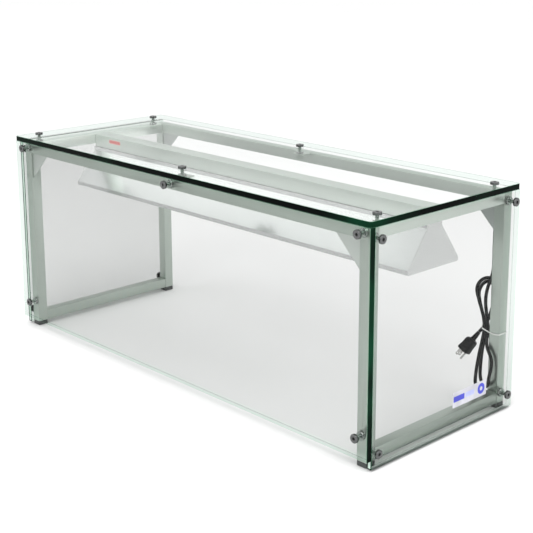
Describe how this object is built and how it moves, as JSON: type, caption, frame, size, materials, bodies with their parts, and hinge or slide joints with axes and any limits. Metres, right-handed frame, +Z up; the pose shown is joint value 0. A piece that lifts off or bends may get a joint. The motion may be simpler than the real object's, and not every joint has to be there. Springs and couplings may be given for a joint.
{
  "type": "hot food display case",
  "caption": "Countertop glass case on a square-tube frame, open at the back and below, with a heat-strip beam and reflector hood over hot food pans.",
  "frame": {"origin": "on the counter, at the middle of the case's footprint, under its feet", "axes": "+X along the case's length, +Y towards its open serving side, +Z up"},
  "size_m": [1.229, 0.4793, 0.51],
  "materials": {
    "glass": "polished",
    "frame": "brushed",
    "gusset": "brushed",
    "reflector": "satin",
    "chrome": "polished",
    "element": "matte",
    "ceramic": "matte",
    "foot": "matte",
    "black_plastic": "semi-gloss",
    "cord": "matte",
    "plug": "matte",
    "tie": "matte",
    "caution_label": "satin",
    "sticker": "satin"
  },
  "bodies": {
    "case": {"caution_label": "caution_label", "cord_hank": "cord", "cord_lead": "cord", "cord_plug": "plug", "cord_slack": "cord", "cord_strain_relief": "black_plastic", "cord_tie": "tie", "element_left_support": "ceramic", "element_right_support": "ceramic", "fastener_front_lower_left": "chrome", "fastener_front_lower_right": "chrome", "fastener_front_upper_left": "chrome", "fastener_front_upper_middle": "chrome", "fastener_front_upper_right": "chrome", "fastener_left_front_lower": "chrome", "fastener_left_front_upper": "chrome", "fastener_left_rear_lower": "chrome", "fastener_left_rear_upper": "chrome", "fastener_right_front_lower": "chrome", "fastener_right_front_upper": "chrome", "fastener_right_rear_lower": "chrome", "fastener_right_rear_upper": "chrome", "fastener_top_front_left": "chrome", "fastener_top_front_middle": "chrome", "fastener_top_front_right": "chrome", "fastener_top_rear_left": "chrome", "fastener_top_rear_middle": "chrome", "fastener_top_rear_right": "chrome", "front_glass": "glass", "front_left_foot": "foot", "front_left_gusset": "gusset", "front_left_post": "frame", "front_rail_tab": "frame", "front_right_foot": "foot", "front_right_gusset": "gusset", "front_right_post": "frame", "front_top_rail": "frame", "glass_sticker": "sticker", "heater_housing": "frame", "heating_element": "element", "hood_left_end": "reflector", "hood_right_end": "reflector", "left_bottom_rail": "frame", "left_glass": "glass", "left_top_rail": "frame", "rear_left_foot": "foot", "rear_left_gusset": "gusset", "rear_left_post": "frame", "rear_rail_tab": "frame", "rear_right_foot": "foot", "rear_right_gusset": "gusset", "rear_right_post": "frame", "rear_top_rail": "frame", "reflector_hood": "reflector", "right_bottom_rail": "frame", "right_glass": "glass", "right_top_rail": "frame", "switch_bezel": "black_plastic", "top_glass": "glass"},
    "switch_rocker": {"switch_rocker": "black_plastic"}
  },
  "joints": [
    {"name": "power_switch", "type": "hinge", "parent": "case", "child": "switch_rocker", "pos_m": [0.5, 0.0245, 0.4705], "axis": [0, 0, 1], "range_deg": [0, 20]}
  ]
}
